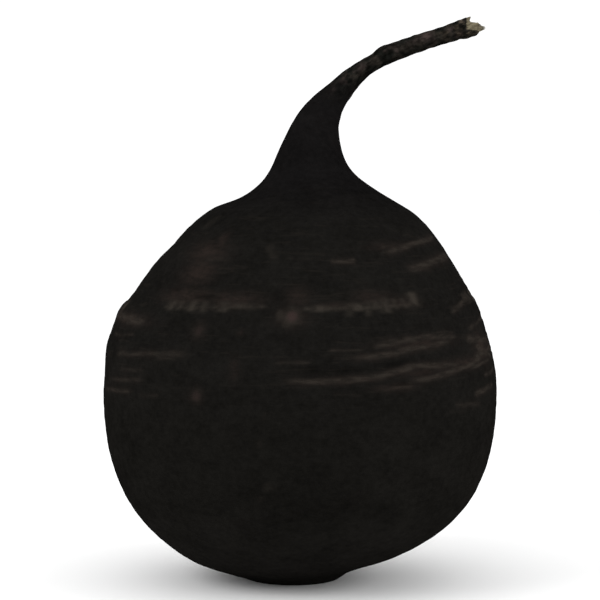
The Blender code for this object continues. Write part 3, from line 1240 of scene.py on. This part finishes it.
# Painted shade: the taproot's underside is made darker, and less so near the end.
below = finish.ramp(Number(parts.outputs["X"]), (NECK_RIGHT - 0.5) * UNIT, (NECK_RIGHT + 1.8) * UNIT)
worn_brown = finish.blots((0.42, 0.66), 1.6, 2.2, 31.0, detail=3.0, roughness=0.6)
worn_pink = finish.blots((0.54, 0.80), 1.2, 1.8, 37.0)
worn_tan = finish.blots((0.46, 0.70), 1.0, 1.5, 53.0)
speckled = finish.blots((0.28, 0.72), 0.9, 1.5, 59.0)
tail_colour = finish.mix(worn_brown, TAPROOT_BLACK, TAPROOT_BROWN)
below = below * (1.0 - 0.7 * near_end)
tail_colour = finish.mix(worn_pink * (0.4 - 0.3 * below), tail_colour, TAPROOT_PINK)
tail_colour = finish.mix(finish.stored("pink") * 0.8, tail_colour, TAPROOT_PINK)
tail_colour = finish.mix(worn_tan * near_end * (0.9 - 0.5 * below), tail_colour, TAPROOT_TAN)
# Painted shade darkens the underside here, and less pink and tan show there.
tail_colour = finish.shade(tail_colour, (1.18 - 0.50 * below) * (0.46 + 1.15 * speckled))
colour = finish.mix(tail, colour, tail_colour)

bare = flesh_colour(finish, 0.9)[0]
colour = finish.mix(finish.stored("torn"), colour, bare)
print("taproot mixed in")

# %% Grain of the skin
grain = finish.noise(0.55, 0.40, 43.0, detail=4.0, roughness=0.6)
cork = finish.noise(6.0, 0.30, 47.0, detail=3.0, roughness=0.6)
finish.bump(grain * 0.5 + cork * 0.5 - cracks_shown * 0.4, 0.20)
roughness = 0.70 + 0.20 * finish.noise(2.5, 1.5, 41.0, detail=3.0)
finish.dress(colour, roughness, 0.0)
print(len(finish.tree.nodes), "nodes in the black skin")

# %% [markdown]
# ## Floor and light
#
# A black thing needs a bright room: the skin shows only by what little it reflects. A white floor and a white
# sky give that from every side, and two large soft lights, to the left and to the right, model the form.

# %% Floor
FLOOR_SIZE = 6.0
# The floor lies this far below the slice, so that the two never share a plane.
FLOOR_GAP = 0.00005
PAPER_WHITE = (0.93, 0.93, 0.93, 1.0)
bpy.ops.object.select_all(action="DESELECT")
bpy.ops.mesh.primitive_plane_add(size=FLOOR_SIZE, location=(0.0, 0.0, -FLOOR_GAP))
floor = bpy.context.object
floor.name = "floor"
paper = bpy.data.materials.new("white_paper")
Finish(paper).dress(PAPER_WHITE, 0.9, 0.1)
floor.data.materials.append(paper)
floor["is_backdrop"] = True
print("floor laid")

# %% Sky and soft lights
SKY_WHITE = (1.0, 1.0, 1.0, 1.0)
SKY_STRENGTH = 1.1
# Name, place and width in metres, and power in watts.
LIGHTS = (
    ("left_light", (-0.9, -0.5, 0.7), 0.7, 6.0),
    ("right_light", (0.9, -0.3, 0.4), 0.6, 4.0),
)
world = bpy.data.worlds.new("white room")
world.use_nodes = True
sky = world.node_tree.nodes["Background"]
sky.inputs["Color"].default_value = SKY_WHITE
sky.inputs["Strength"].default_value = SKY_STRENGTH
bpy.context.scene.world = world

for name, place, size, power in LIGHTS:
    towards = LOOK_AT * UNIT - Vector(place)
    bpy.ops.object.light_add(
        type="AREA", location=place, rotation=towards.to_track_quat("-Z", "Y").to_euler()
    )
    light = bpy.context.object
    light.name = name
    light.data.size = size
    light.data.energy = power
bpy.context.scene.view_settings.view_transform = "Standard"
print("lights:", [name for name, *rest in LIGHTS])

# %% [markdown]
# ## Hand over
#
# The finished root takes the solid's place in pictures, and the strands go with it. Both ride on the solid's
# body.

# %% Finish the pieces
for piece, slot in ((root, "skin"), (fibres, "flesh")):
    bpy.ops.object.select_all(action="DESELECT")
    piece.select_set(True)
    bpy.context.view_layer.objects.active = piece
    bpy.ops.object.shade_smooth()
    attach(piece, "root")
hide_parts("radish_root")

# %% Print how far the pieces reach past the solid's box
visual_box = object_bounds()
for corner in (0, 1):
    past = (visual_box[corner] - cad_box[corner]) * 1000
    print("past the solid's box, in mm:", [round(value, 3) for value in past])
